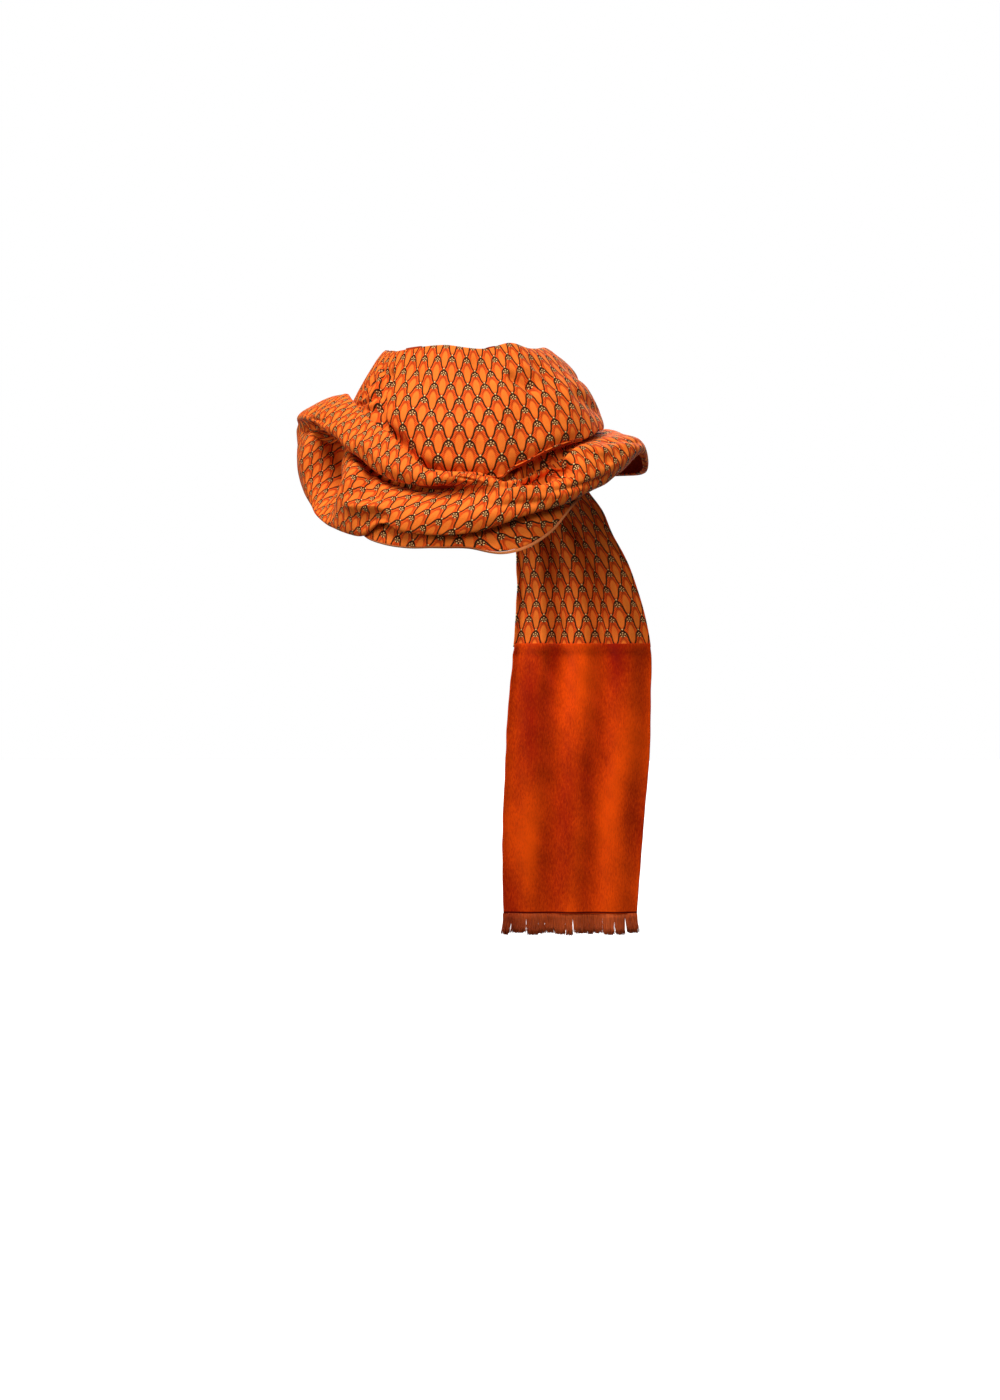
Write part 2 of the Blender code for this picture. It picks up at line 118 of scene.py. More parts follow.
# How far from its first rail the tucked sheet's inner end lies, below the upper turn's foot.
DRAPE_INNER_COLUMNS = "azimuth inner_r inner_z"
DRAPE_INNER_ROWS = (
    (-180, -7, -9),
    (-110, -7, -9),
    (-80, -13, -11),
    (-54, -13, -11),
    (-44, -8, -7),
    (-20, -8, -7),
    (-10, -9, -8),
    (12, -9, -8),
    (22, -0.6, -3),
    (120, -0.6, -3),
    (180, -7, -9),
)

UNDER_COLUMNS = "azimuth top_r top_z middle_r middle_z edge_r edge_z"
UNDER_ROWS = (
    (-43, 121, -58, 124.5, -73, 126.5, -83),
    (-37, 121.5, -60, 127.5, -78, 131, -91.5),
    (-30, 122, -62, 129, -81, 132.5, -97),
    (-20, 121.5, -64, 129, -83, 132.5, -101),
    (-8, 121, -65, 127.5, -84, 132, -101.5),
    (4, 121, -65, 127.5, -84, 132, -102),
    (16, 122, -65, 128.5, -85, 133, -107),
    (24, 123, -60, 129.5, -80, 133, -103),
    (36, 123, -52, 130, -69, 132.5, -88.5),
    (49, 124, -40, 129.5, -50, 132, -62),
    (62, 128, -24, 132, -31, 134, -37),
)
# How wide the wool lip is.
SHOWN_COLUMNS = "azimuth width"
SHOWN_ROWS = ((-43, 1), (6, 1), (20, 2.6), (62, 2.6))
# How far the lip's own edge turns in towards the neck.
TURNED_COLUMNS = "azimuth inward"
TURNED_ROWS = ((-43, 2), (4, 2), (18, 0.4), (62, 0.4))

# Soft troughs. A level runs from 0 at a section's first corner to 1 at its last, in even spans.
FOLD_COLUMNS = "from_azimuth from_level to_azimuth to_level depth width"
COLLAR_FOLDS = (
    (-54, 0.42, -44, 0.72, 5, 6),
    (-33, 0.68, 8, 0.69, 3, 6),
    (34, 0.38, 40, 0.44, 3, 6),
    (118, 0.56, 205, 0.48, 4, 8),
    (165, 0.68, 236, 0.60, 4, 7),
    (-132, 0.34, -98, 0.42, 3, 7),
)
DRAPE_FOLDS = (
    (-69, 0.60, -65, 0.71, 12, 7),
    (112, 0.36, 160, 0.30, 4, 5),
    (146, 0.74, 214, 0.80, 4, 6),
)

TAIL_COLUMNS = "z left_x left_y right_x right_y bow pleat"
TAIL_ROWS = (
    (-22, 34, 99, 108, 46, 13, 0),
    (-34, 35, 101, 111, 48, 13, 0.5),
    (-50, 38, 108, 122, 58, 13, 2),
    (-75, 46, 118, 137, 78, 10, 5),
    (-110, 50, 120, 155, 97, 6, 6.5),
    (-145, 50, 119, 167, 107, 3, 6.5),
    (-179, 47, 117, 174, 110, 1, 6),
    (-225, 43, 114, 174, 110, 0, 5),
    (-275, 40, 111, 173, 109, 0, 4.5),
    (-330, 38, 109, 168.5, 109, 0, 4),
    (-385, 37, 109, 164, 109, 0, 3.5),
    (-425, 38, 109, 161, 109, 0, 3),
)
TAIL_SEAM = -179 * MM
TAIL_HEM = -425 * MM
TAIL_PLEATS = 3.2
PLEAT_START = 0.1  # of a pleat, where the wearer's right edge lies
TAIL_WIDTH = 0.13
TAIL_ACROSS = 97
TAIL_STEP = 2.5 * MM
TAIL_RIPPLE = 1.1  # times the turns'
# At the seam the plain panel goes up behind the printed cloth, bending in above LAPPED_FROM.
PRINT_END = TAIL_SEAM - 1 * MM
PLAIN_START = TAIL_SEAM + 2 * MM
LAPPED_FROM = TAIL_SEAM - 9 * MM
LAPPED_RISE = 7 * MM
HEM_LINE = TAIL_HEM + 1.5 * MM

# The fringe: fine strands that lean together in uneven clumps.
STRANDS = 2200
STRAND_SPANS = 4
CLUMPS = 13
FRINGE_WIDTH = 0.123
STRAND_LENGTH = (17.5 * MM, 20.5 * MM)
STRAND_RADIUS = (0.26 * MM, 0.42 * MM)
STRAND_INSET = (0.2 * MM, 1.6 * MM)
STRAND_TOP = 0.6 * MM
STRAND_TAPER = 0.35
STRAND_BEND = 1.4
STRAND_SWING = 1.2 * MM
CLUMP_WIDTH = (0.4, 1.6)
CLUMP_LENGTH = (0.88, 1.0)
CLUMP_LEAN = 1.0 * MM
CLUMP_PULL = (0.05, 0.5)

# Finer creases: a bent line through three places, its depth (a ridge where it is below zero) and
# how far it reaches on its upper and lower side.
CREASE_COLUMNS = "az0 lv0 az1 lv1 az2 lv2 depth above below"
COLLAR_CREASES = (
    (-51, 0.36, -47, 0.42, -48, 0.51, 13, 3, 4),
    (-62, 0.37, -56, 0.50, -62, 0.62, -3.5, 3, 3),
    (-70, 0.40, -64, 0.52, -72, 0.66, 4, 3, 3),
    (-66, 0.30, -61, 0.35, -55, 0.38, 4, 2, 2.5),
    (-49, 0.50, -42, 0.58, -42, 0.70, 4.8, 2.5, 7),
    (-52, 0.50, -60, 0.62, -76, 0.75, 4.2, 3, 4),
    (-50, 0.53, -56, 0.64, -66, 0.74, -2.9, 3, 3),
    (-47, 0.57, -55, 0.65, -72, 0.78, 3.5, 3, 4),
    (-58, 0.42, -68, 0.50, -84, 0.62, 2.9, 3, 5),
    (-44, 0.66, -30, 0.70, -15, 0.75, 8, 5, 4),
    (-22, 0.745, -4, 0.77, 20, 0.785, 10, 4, 4),
    (18, 0.78, 36, 0.78, 60, 0.77, 6, 6, 8),
    (-24, 0.50, -6, 0.55, 12, 0.52, 3.5, 10, 10),
    (-30, 0.29, -26, 0.38, -14, 0.46, 2.2, 4, 7),
    (8, 0.27, 14, 0.35, 22, 0.42, 1.9, 4, 6),
    (27, 0.38, 34, 0.42, 42, 0.48, 5.4, 2.5, 7),
    (32, 0.34, 40, 0.37, 50, 0.43, -2.2, 4, 4),
    (44, 0.30, 52, 0.46, 50, 0.66, 2.9, 6, 9),
    (60, 0.50, 72, 0.62, 88, 0.70, 2.9, 6, 8),
    (70, 0.34, 88, 0.42, 104, 0.50, 2.6, 5, 8),
    (98, 0.26, 120, 0.34, 138, 0.36, 2.2, 5, 7),
    (-150, 0.40, -128, 0.55, -100, 0.62, 2.6, 5, 7),
    (150, 0.40, 166, 0.46, 186, 0.44, 2.1, 5, 6),
)
DRAPE_CREASES = (
    (-64, 0.17, -68, 0.21, -76, 0.28, 3.6, 3, 4),
    (-50, 0.18, -58, 0.26, -72, 0.34, 2.7, 3, 5),
    (-62, 0.60, -60, 0.70, -54, 0.80, 5, 3, 6),
    (-48, 0.60, -43, 0.70, -38, 0.80, -2.2, 6, 6),
    (-40, 0.57, -35, 0.64, -27, 0.72, 5.4, 2.5, 7),
    (-46, 0.74, -38, 0.72, -32, 0.71, 3.3, 2.5, 3),
    (-44, 0.77, -36, 0.755, -26, 0.75, -3, 3, 3),
    (-42, 0.79, -34, 0.78, -24, 0.80, 3.6, 2.5, 3.5),
    (-40, 0.83, -32, 0.815, -24, 0.85, 3, 3, 3),
    (-60, 0.14, -42, 0.20, -24, 0.24, 2.1, 4, 6),
    (-44, 0.22, -30, 0.28, -16, 0.28, -1.5, 4, 4),
    (0, 0.27, 6, 0.34, 12, 0.44, 2.7, 3, 4),
    (26, 0.22, 32, 0.28, 40, 0.34, 2.2, 3, 4),
    (42, 0.14, 44, 0.30, 43, 0.50, 6, 3, 6),
    (24, 0.13, 38, 0.16, 56, 0.13, 11, 7, 6),
    (26, 0.27, 36, 0.31, 48, 0.30, 10, 9, 7),
    (-82, 0.42, -70, 0.45, -58, 0.47, 8, 4, 5),
    (-50, 0.46, -30, 0.47, -4, 0.46, 6, 4, 5),
    (50, 0.28, 58, 0.42, 62, 0.62, 2.4, 4, 7),
    (62, 0.22, 76, 0.34, 84, 0.56, 2.4, 5, 6),
    (4, 0.62, 18, 0.70, 34, 0.78, 2.4, 6, 7),
    (30, 0.62, 46, 0.70, 62, 0.78, 2.4, 5, 7),
    (98, 0.40, 118, 0.52, 134, 0.56, 2.7, 5, 6),
    (150, 0.30, 176, 0.36, 198, 0.34, 2.7, 5, 7),
    (-160, 0.52, -132, 0.60, -108, 0.62, 3, 5, 7),
    (-112, 0.30, -94, 0.40, -80, 0.44, 2.4, 4, 6),
)

BEND_POINTS = 25
CREASE_END = 0.02  # of its length
CREASE_FADE = 1.6

# A faint unevenness all over the cloth: crossed waves of mixed lengths.
RIPPLE_WAVES = 9
RIPPLE_LENGTHS = (16 * MM, 60 * MM)
RIPPLE_DEPTH = 0.27 * MM
COLLAR_SEED = 5
DRAPE_SEED = 8
UNDER_SEED = 11
TAIL_SEED = 21
FRINGE_SEED = 3

# The two turns lap over themselves at the back, with slanting ends.
LAP_START = -196
LAP_END = 190
LAP_SLANT = 24
LAP_REACH = 30
LAP_RISE = (120, 165)
LAP_LIFT = 2.2 * MM
LAP_MARGIN = 20

# How a turn's print leans against its sections, in degrees, at some azimuths, and how much
# closer than flat it lies where the cloth is gathered.
LEAN_COLUMNS = "azimuth lean gather"
COLLAR_LEAN = ((-64, 0, 1.4), (-52, 0, 1.25), (-44, 0, 1), (62, 0, 1), (100, 0, 1.2))
ROLL_LEAN = ((-70, 10, 1.5), (-40, 10, 1.35), (-14, 10, 1.1), (4, 10, 1))
BELLY_LEAN = ((-90, 18, 1.5), (-45, 25, 1.3), (0, 38, 1), (20, 20, 1), (45, 0, 1))
UNDER_LEAN = ((-44, 6, 1), (5, 0, 1), (16, -32, 1), (50, -40, 1))
# The level, in spans, at which the lower turn's print changes from its roll's to its belly's.
CHART_COLUMNS = "azimuth border"
CHART_ROWS = ((-180, 4), (-14, 4), (4, 1), (100, 1), (130, 4))
CHART_SLACK = 0.01

# The photograph's eye, 0.88 mm to a pixel at the neck, and the studio.
EYE_X = 0.0352
EYE_Z = -0.2288
EYE_AWAY = 2.6
PIXEL = 0.00088
PHOTO_HEIGHT = 1400
SENSOR = 36
FLOOR = -0.9
FLOOR_HALF = 30
FLOOR_GREY = 0.85
AMBIENT = 0.08
# name, where it stands, its angle in degrees and its strength
SUNS = (
    ("key", (-0.3, -0.5, 1.2), 24, 3.0),
    ("left", (-1.0, -0.5, 0.15), 30, 1.2),
    ("fill", (0.2, -0.8, 0.6), 30, 1.4),
    ("back", (0.2, 0.9, 0.6), 40, 1.2),
)

# How finely the meshes are divided.
COLLAR_STEPS = 18
DRAPE_STEPS = 9
INNER_STEPS = 4
UNDER_STEPS = 12
UNDER_COUNT = 140
UNDER_DOWN = 16
LIP_DOWN = 6
AROUND = 360

# The print's repeat: a scale's size, its outline's curve, and what lies in it, from its middle.
# An edge is where a form begins and ends to fade. A band has a middle, half a width and a softness.
CELL_WIDTH = 14.0 * MM
CELL_HEIGHT = 27.5 * MM
SHOULDER = 0.4
TOE = 0.28
ROUND_POWER = 7
OUTLINE_EDGE = (0.4 * MM, 0.8 * MM)
HEAD_PLACE = 9.8 * MM
HEAD_EDGE = (2.2 * MM, 2.8 * MM)
EYE_EDGE = (0.2 * MM, 0.6 * MM)
ARMS = 5
ARM_EDGE = (-0.1, 0.6)
SPECK_BAND = (1.8 * MM, 0.3 * MM, 0.3 * MM)
RIM_BAND = (3.5 * MM, 0.5 * MM, 0.3 * MM)
RIM_ANGLES = (1.3, 0.75, 0.3)
DASHES = 9
DASH_EDGE = (-0.3, 0.3)
CAP_BAND = (2.8 * MM, 0.3 * MM, 0.3 * MM)
CAP_ANGLES = (0, 0.9, 0.3)
TIP_PLACE = -12.9 * MM
TIP_EDGE = (0.4 * MM, 0.9 * MM)
PETAL_PLACE = -3.2 * MM
PETAL_WIDE = 2.9 * MM
PETAL_TALL = 8.6 * MM
PETAL_EDGE = (0.75, 1.1)
ARCH_BAND = (1.12, 0.07, 0.16)
ARCH_RISE = (-1 * MM, 3 * MM)
ARCH_SHARE = 0.5
BARB_PITCH = 1.8 * MM
BARB_SLOPE = 1.1
BARB_EDGE = (-0.4, 0.6)
THREAD_PITCH = 0.7 * MM
# Two noises, with the scale and the strength of each, and the level that they are added to.
PATCHES = (30.0, 0.2)
GRAIN = (900.0, 0.9)
SHADE_LEVEL = 0.42
PRINT_LIGHT = (246, 121, 38)
PRINT_MIDDLE = (246, 100, 24)
PRINT_DEEP = (212, 61, 9)
PRINT_RUST = (140, 36, 8)
PRINT_OLIVE = (40, 28, 6)
PRINT_BROWN = (56, 20, 5)
PRINT_CREAM = (255, 206, 128)

# Each wool's dark and light, how long its streaks are, and its sheen; then how fine the streaks and
# the broad bands are. On the plain panel the dark and light lie wide apart and the bands are long and
# upright: painted pleat shade and painted light.
PLAIN_WOOL_WITH_PAINTED_SHADE = ((158, 22, 0), (246, 80, 2), 3, 0.04)
BACK_WOOL = ((150, 40, 6), (200, 76, 20), 1, 0.05)
LIP_WOOL = ((210, 104, 52), (240, 146, 84), 1, 0.1)
FRINGE_WOOL = ((150, 44, 10), (224, 104, 48), 6, 0.05)
STREAKS = 900
TONE_AND_SHADE_BANDS = (26, 26, 8)
STREAK_SHARE = 0.4
TONE_AND_SHADE_SHARE = 0.8
WOOL_EDGE = (0.35, 0.85)
HEM_EDGE = (1.1 * MM, 0.4 * MM)
HEM_DARKER = 4


def table(columns, rows):
    """A dict from each column's name to its values, with lengths still in millimetres."""
    names = columns.split()
    values = np.array(rows, float)
    return {name: values[:, i] for i, name in enumerate(names)}


def through(knots, values, at, period=None):
    """The smooth curve through values at knots, read at `at`. It closes on itself after period."""
    if period:
        knots = np.concatenate([knots[-2:] - period, knots, knots[:2] + period])
        values = np.concatenate([values[-2:], values, values[:2]])
    slopes = np.gradient(values, knots, axis=0)
    i = np.clip(np.searchsorted(knots, at, side="right") - 1, 0, len(knots) - 2)
    step = knots[i + 1] - knots[i]
    t = (at - knots[i]) / step
    if values.ndim > 1:
        shape = (-1,) + (1,) * (values.ndim - 1)
        step, t = step.reshape(shape), t.reshape(shape)
    return (
        values[i] * (1 + 2 * t) * (1 - t) ** 2
        + values[i + 1] * t * t * (3 - 2 * t)
        + step * t * (1 - t) * (slopes[i] * (1 - t) - slopes[i + 1] * t)
    )


def section_curve(corners, steps):
    """Points along the smooth curve through a section's corners, `steps` to each span."""
    spans = np.linalg.norm(np.diff(corners, axis=0), axis=1) ** 0.5
    knots = np.concatenate([[0], np.cumsum(spans)])
    whole = np.arange(len(knots))
    at = np.interp(np.linspace(0, len(knots) - 1, (len(knots) - 1) * steps + 1), whole, knots)
    return through(knots, corners, at)


def sections(rows, rails, azimuths, period=None):
    """The corners of each azimuth's section, read smoothly from the rows: azimuth x rail x (r, z)."""
    places = [np.stack([rows[rail + "_r"], rows[rail + "_z"]], axis=1) for rail in rails]
    return through(rows["azimuth"], np.stack(places, axis=1), azimuths, period)


def with_flap(corners, flap, at_end):
    """The corners with one more, `flap` away from the first or the last."""
    end = corners[:, -1:] if at_end else corners[:, :1]
    more = end + np.array(flap, float)
    return np.concatenate([corners, more] if at_end else [more, corners], axis=1)


def around(azimuths, curves):
    """Section curves in millimetres, turned to their azimuths: (x, y, z) of each point in metres."""
    angle = np.radians(azimuths)[:, None]
    r, z = curves[:, :, 0] * MM, curves[:, :, 1] * MM
    return np.stack([r * np.sin(angle), -r * np.cos(angle), z], axis=2)


def grid_normals(points, closed):
    """The outward normal at each point of a grid whose rows run round the neck and columns down."""
    if closed:
        along = np.roll(points, -1, axis=0) - np.roll(points, 1, axis=0)
    else:
        along = np.gradient(points, axis=0)
    down = np.gradient(points, axis=1)
    normals = np.cross(down, along)
    return normals / np.linalg.norm(normals, axis=2, keepdims=True)


def fold_depth(points, azimuths, folds):
    """How deep the soft troughs are, in metres at each point of the grid."""
    rows = table(FOLD_COLUMNS, folds)
    level = np.linspace(0, 1, points.shape[1])[None, :]
    size = np.linalg.norm(np.diff(points, axis=1), axis=2).sum(axis=1).mean()
    reach = np.linalg.norm(points[:, :, :2], axis=2).mean()
    scale = np.array([math.radians(1) * reach, size])
    depth = np.zeros(points.shape[:2])
    for k in range(len(folds)):
        start = np.array([rows["from_azimuth"][k], rows["from_level"][k]])
        end = np.array([rows["to_azimuth"][k], rows["to_level"][k]])
        way = (end - start) * scale
        swing = (azimuths[:, None] - start[0] + TURN / 2) % TURN - TURN / 2
        drop = (level - start[1]) * scale[1]
        offset = np.stack(np.broadcast_arrays(swing * scale[0], drop), axis=2)
        t = np.clip(offset @ way / (way @ way), 0, 1)
        away = np.linalg.norm(offset - t[:, :, None] * way, axis=2)
        width = rows["width"][k] * MM
        depth += rows["depth"][k] * MM * np.exp(-((away / width) ** 2))
    return depth


def crease_depth(points, azimuths, creases):
    """The finer creases, in metres at each point: uneven bent lines that fade out at both ends."""
    rows = table(CREASE_COLUMNS, creases)
    level = np.linspace(0, 1, points.shape[1])[None, :]
    steps = np.linalg.norm(np.diff(points, axis=1), axis=2).mean(axis=0)
    runs = np.concatenate([[0], np.cumsum(steps)])
    reach = np.linalg.norm(points[:, :, :2], axis=2).mean() * math.radians(1)
    depth = np.zeros(points.shape[:2])
    place = np.interp(level, level[0], runs)
    for k in range(len(creases)):
        azs = [rows[f"az{n}"][k] for n in range(3)]
        lvs = np.interp([rows[f"lv{n}"][k] for n in range(3)], level[0], runs)
        bend = np.linspace(0, 1, BEND_POINTS)[:, None]
        control = np.array([[(a - azs[0]) * reach, v] for a, v in zip(azs, lvs)])
        middle = 2 * control[1] - (control[0] + control[2]) / 2
        line = control[0] * (1 - bend) ** 2 + 2 * middle * bend * (1 - bend) + control[2] * bend**2
        swing = ((azimuths[:, None] - azs[0] + TURN / 2) % TURN - TURN / 2) * reach
        here = np.stack(np.broadcast_arrays(swing, place), axis=2)
        best = np.full(points.shape[:2], np.inf)
        side = np.zeros(points.shape[:2])
        share = np.zeros(points.shape[:2])
        for n in range(len(line) - 1):
            way = line[n + 1] - line[n]
            offset = here - line[n]
            t = np.clip(offset @ way / (way @ way), 0, 1)
            gap = offset - t[:, :, None] * way
            away = np.linalg.norm(gap, axis=2)
            cross = way[0] * offset[:, :, 1] - way[1] * offset[:, :, 0]
            near = away < best
            best = np.where(near, away, best)
            side = np.where(near, cross, side)
            share = np.where(near, (n + t) / (len(line) - 1), share)
        width = np.where(side < 0, rows["above"][k], rows["below"][k]) * MM
        share = np.clip(share, CREASE_END, 1 - CREASE_END)
        fade = np.clip(np.sin(np.pi * share) * CREASE_FADE, 0, 1)
        depth += rows["depth"][k] * MM * fade * np.exp(-((best / width) ** 2))
    return depth


def ripple(points, seed):
    """A faint unevenness, in metres: a few crossed waves, the same on each run."""
    draw = np.random.default_rng(seed)
    x, y, z = (points[:, :, i] for i in range(3))
    made = np.zeros(points.shape[:2])
    for _ in range(RIPPLE_WAVES):
        length = draw.uniform(*RIPPLE_LENGTHS)
        way = draw.normal(size=3)
        way /= np.linalg.norm(way)
        phase = draw.uniform(0, 2 * math.pi)
        made += np.sin((x * way[0] + y * way[1] + z * way[2]) * 2 * math.pi / length + phase)
    return made * RIPPLE_DEPTH


def closed_turn(rows, rails, flaps, steps, folds, creases, seed):
    """A turn's azimuths, plain points and creased points, once round the neck."""
    azimuths = np.linspace(-TURN / 2, TURN / 2, AROUND, endpoint=False)
    corners = sections(rows, rails, azimuths, TURN)
    for flap, at_end in zip(flaps, (False, True)):
        if flap:
            corners = with_flap(corners, flap, at_end)
    curves = np.stack([section_curve(corner, steps) for corner in corners])
    plain = around(azimuths, curves)
    depth = fold_depth(plain, azimuths, folds)
    pressed = plain - depth[:, :, None] * grid_normals(plain, True)
    depth = crease_depth(plain, azimuths, creases) + ripple(plain, seed)
    return azimuths, plain, pressed - depth[:, :, None] * grid_normals(pressed, True)


def read_round(values, azimuths, at):
    """Values of a closed turn, column by column, at other azimuths: `at` is azimuth x column."""
    place = (at - azimuths[0]) / (azimuths[1] - azimuths[0])
    low = np.floor(place).astype(int)
    t = (place - low)[:, :, None]
    column = np.arange(values.shape[1])[None, :]
    count = len(azimuths)
    return values[low % count, column] * (1 - t) + values[(low + 1) % count, column] * t


def developed(points, azimuths, lean, middle, low, high):
    """The strip laid flat: each point's place in metres, with the print's lean against sections."""
    rows = table(LEAN_COLUMNS, lean)
    steps = np.linalg.norm(np.diff(points, axis=0), axis=2)
    down = np.linalg.norm(np.diff(points, axis=1), axis=2)
    runs = np.concatenate([np.zeros((len(points), 1)), np.cumsum(down, axis=1)], axis=1)
    runs -= runs[:, middle : middle + 1]
    width = (runs[:, high] - runs[:, low])[:-1]
    natural = np.concatenate([[0], np.cumsum((steps[:, high] - steps[:, low]) / width)])
    held = np.clip(azimuths, rows["azimuth"][0], rows["azimuth"][-1])
    gather = np.interp(azimuths, rows["azimuth"], rows["gather"])[:, None]
    turned = np.radians(through(rows["azimuth"], rows["lean"], held))
    turned += natural - np.interp(held, azimuths, natural)
    half = (turned[1:] + turned[:-1]) / 2
    line = np.stack([np.cos(half), np.sin(half)], axis=1)
    line = line * steps[:, middle : middle + 1] * gather[1:]
    centre = np.concatenate([np.zeros((1, 2)), np.cumsum(line, axis=0)])
    across = np.stack([np.sin(turned), -np.cos(turned)], axis=1)
    return centre[:, None, :] + (runs * gather)[:, :, None] * across[:, None, :]


def cloth_piece(name, points, flats, wall, finishes, charts=None):
    """A thin shell through a grid of outer points, with the print's place in its UV map."""
    rows, columns = points.shape[:2]
    data = bpy.data.meshes.new(name)
    index = np.arange(rows * columns).reshape(rows, columns)
    faces = np.stack([index[:-1, :-1], index[:-1, 1:], index[1:, 1:], index[1:, :-1]], axis=2)
    data.from_pydata(points.reshape(-1, 3), [], faces.reshape(-1, 4).tolist())
    layer = data.uv_layers.new(name="UVMap")
    chosen = np.zeros((rows - 1, columns - 1), int) if charts is None else charts
    corner = faces.reshape(-1, 4)
    place = np.stack([flat.reshape(-1, 2) for flat in flats])
    values = place[chosen.reshape(-1)[:, None], corner]
    layer.data.foreach_set("uv", values.reshape(-1))
    data.shade_smooth()
    for finish in finishes:
        data.materials.append(finish)
    made = bpy.data.objects.new(name, data)
    bpy.context.scene.collection.objects.link(made)
    solid = made.modifiers.new("wall", "SOLIDIFY")
    solid.thickness = wall
    solid.offset = -1
    solid.material_offset = len(finishes) - 1
    round_off = made.modifiers.new("edge", "BEVEL")
    round_off.width = wall * EDGE_ROUND
    round_off.segments = 2
    round_off.limit_method = "ANGLE"
    round_off.angle_limit = math.radians(EDGE_ANGLE)
    return made


def span_of(azimuths, start, end):
    """Azimuths from start to end, as close together as those of a closed turn."""
    return np.linspace(start, end, round((end - start) / (azimuths[1] - azimuths[0])) + 1)


def lapped(azimuths, pressed, slant):
    """A closed turn cut open, with slanting ends, of which the upper stands off the other.

    Gives the strip's azimuths, those of each point, and the points.
    """
    straight = span_of(azimuths, LAP_START, LAP_END)
    level = np.linspace(-0.5, 0.5, pressed.shape[1])[None, :]
    near_end = np.clip(1 - (LAP_END - straight) / LAP_REACH, 0, 1) ** 2
    near_start = np.clip(1 - (straight - LAP_START) / LAP_REACH, 0, 1) ** 2
    at = straight[:, None] + slant * (near_end + near_start)[:, None] * level
    low, high = LAP_RISE
    t = np.clip((at - low) / (high - low), 0, 1)
    lift = LAP_LIFT * t * t * (3 - 2 * t)
    outward = read_round(grid_normals(pressed, True), azimuths, at)
    return straight, at, read_round(pressed, azimuths, at) + outward * lift[:, :, None]


def flat_on(points, azimuths, at, lean, rail, low, high):
    """The developed place of each point of a lapped strip."""
    span = span_of(azimuths, LAP_START - LAP_MARGIN, LAP_END + LAP_MARGIN)
    whole = read_round(points, azimuths, np.repeat(span[:, None], points.shape[1], axis=1))
    flat = developed(whole, span, lean, rail, low, high)
    made = np.empty(at.shape + (2,))
    for j in range(at.shape[1]):
        for axis in range(2):
            made[:, j, axis] = np.interp(at[:, j], span, flat[:, j, axis])
    return made


def collar_wrap(finishes):
    """The upper turn, which stands round the neck as a cone."""
    azimuths, plain, pressed = closed_turn(
        table(COLLAR_COLUMNS, COLLAR_ROWS),
        COLLAR_RAILS,
        (COLLAR_HEM, COLLAR_TUCK),
        COLLAR_STEPS,
        COLLAR_FOLDS,
        COLLAR_CREASES,
        COLLAR_SEED,
    )
    _, at, points = lapped(azimuths, pressed, LAP_SLANT)
    rim, upper, foot = (n * COLLAR_STEPS for n in (1, 2, 4))
    flat = flat_on(plain, azimuths, at, COLLAR_LEAN, upper, rim, foot)
    return cloth_piece("scarf_collar", points, [flat], PRINT_WALL, finishes)


def going_on(azimuths, points):
    """The grid with some more columns before its first: the tucked sheet's unseen inner end."""
    rows = table(DRAPE_INNER_COLUMNS, DRAPE_INNER_ROWS)
    r, z = (np.interp(azimuths, rows["azimuth"], rows[name]) for name in ("inner_r", "inner_z"))
    way = around(azimuths, np.stack([r, z], axis=1)[:, None, :])
    share = np.linspace(1, 0, INNER_STEPS, endpoint=False)[None, :, None]
    return np.concatenate([points[:, :1] + share * way, points], axis=1)


def front_drape(finishes):
    """The lower turn: a lip and a roll, a pocket below them, and a belly with its foot turned in."""
    azimuths, plain, pressed = closed_turn(
        table(DRAPE_COLUMNS, DRAPE_ROWS),
        DRAPE_RAILS,
        (None, DRAPE_TUCK),
        DRAPE_STEPS,
        DRAPE_FOLDS,
        DRAPE_CREASES,
        DRAPE_SEED,
    )
    plain, pressed = (going_on(azimuths, grid) for grid in (plain, pressed))
    straight, at, points = lapped(azimuths, pressed, -LAP_SLANT)
    rail = {name: INNER_STEPS + n * DRAPE_STEPS for n, name in enumerate(DRAPE_RAILS)}
    flats = [
        flat_on(plain, azimuths, at, lean, rail[middle], rail[low], rail[high])
        for lean, middle, low, high in (
            (ROLL_LEAN, "roll", "lip", "under"),
            (BELLY_LEAN, "belly", "shoulder", "foot"),
        )
    ]
    charts = table(CHART_COLUMNS, CHART_ROWS)
    border = np.interp(straight, charts["azimuth"], charts["border"])[:-1, None]
    level = np.maximum(0, np.arange(plain.shape[1] - 1) - INNER_STEPS) / DRAPE_STEPS
    chosen = (level[None, :] >= border - CHART_SLACK).astype(int)
    return cloth_piece("scarf_lower_turn", points, flats, PRINT_WALL, finishes, chosen)


def cut_along(whole, begins, ends, columns):
    """Each row of a grid between two distances short of its end, divided evenly.

    A row's points are (x, y, z) and whatever else goes with them.
    """
    made = []
    for row, begin, end in zip(whole, begins, ends):
        run = np.concatenate([[0], np.cumsum(np.linalg.norm(np.diff(row[:, :3], axis=0), axis=1))])
        at = np.linspace(max(0, run[-1] - begin), run[-1] - end, columns)
        made.append(np.stack([np.interp(at, run, row[:, i]) for i in range(row.shape[1])], axis=1))
    return np.array(made)


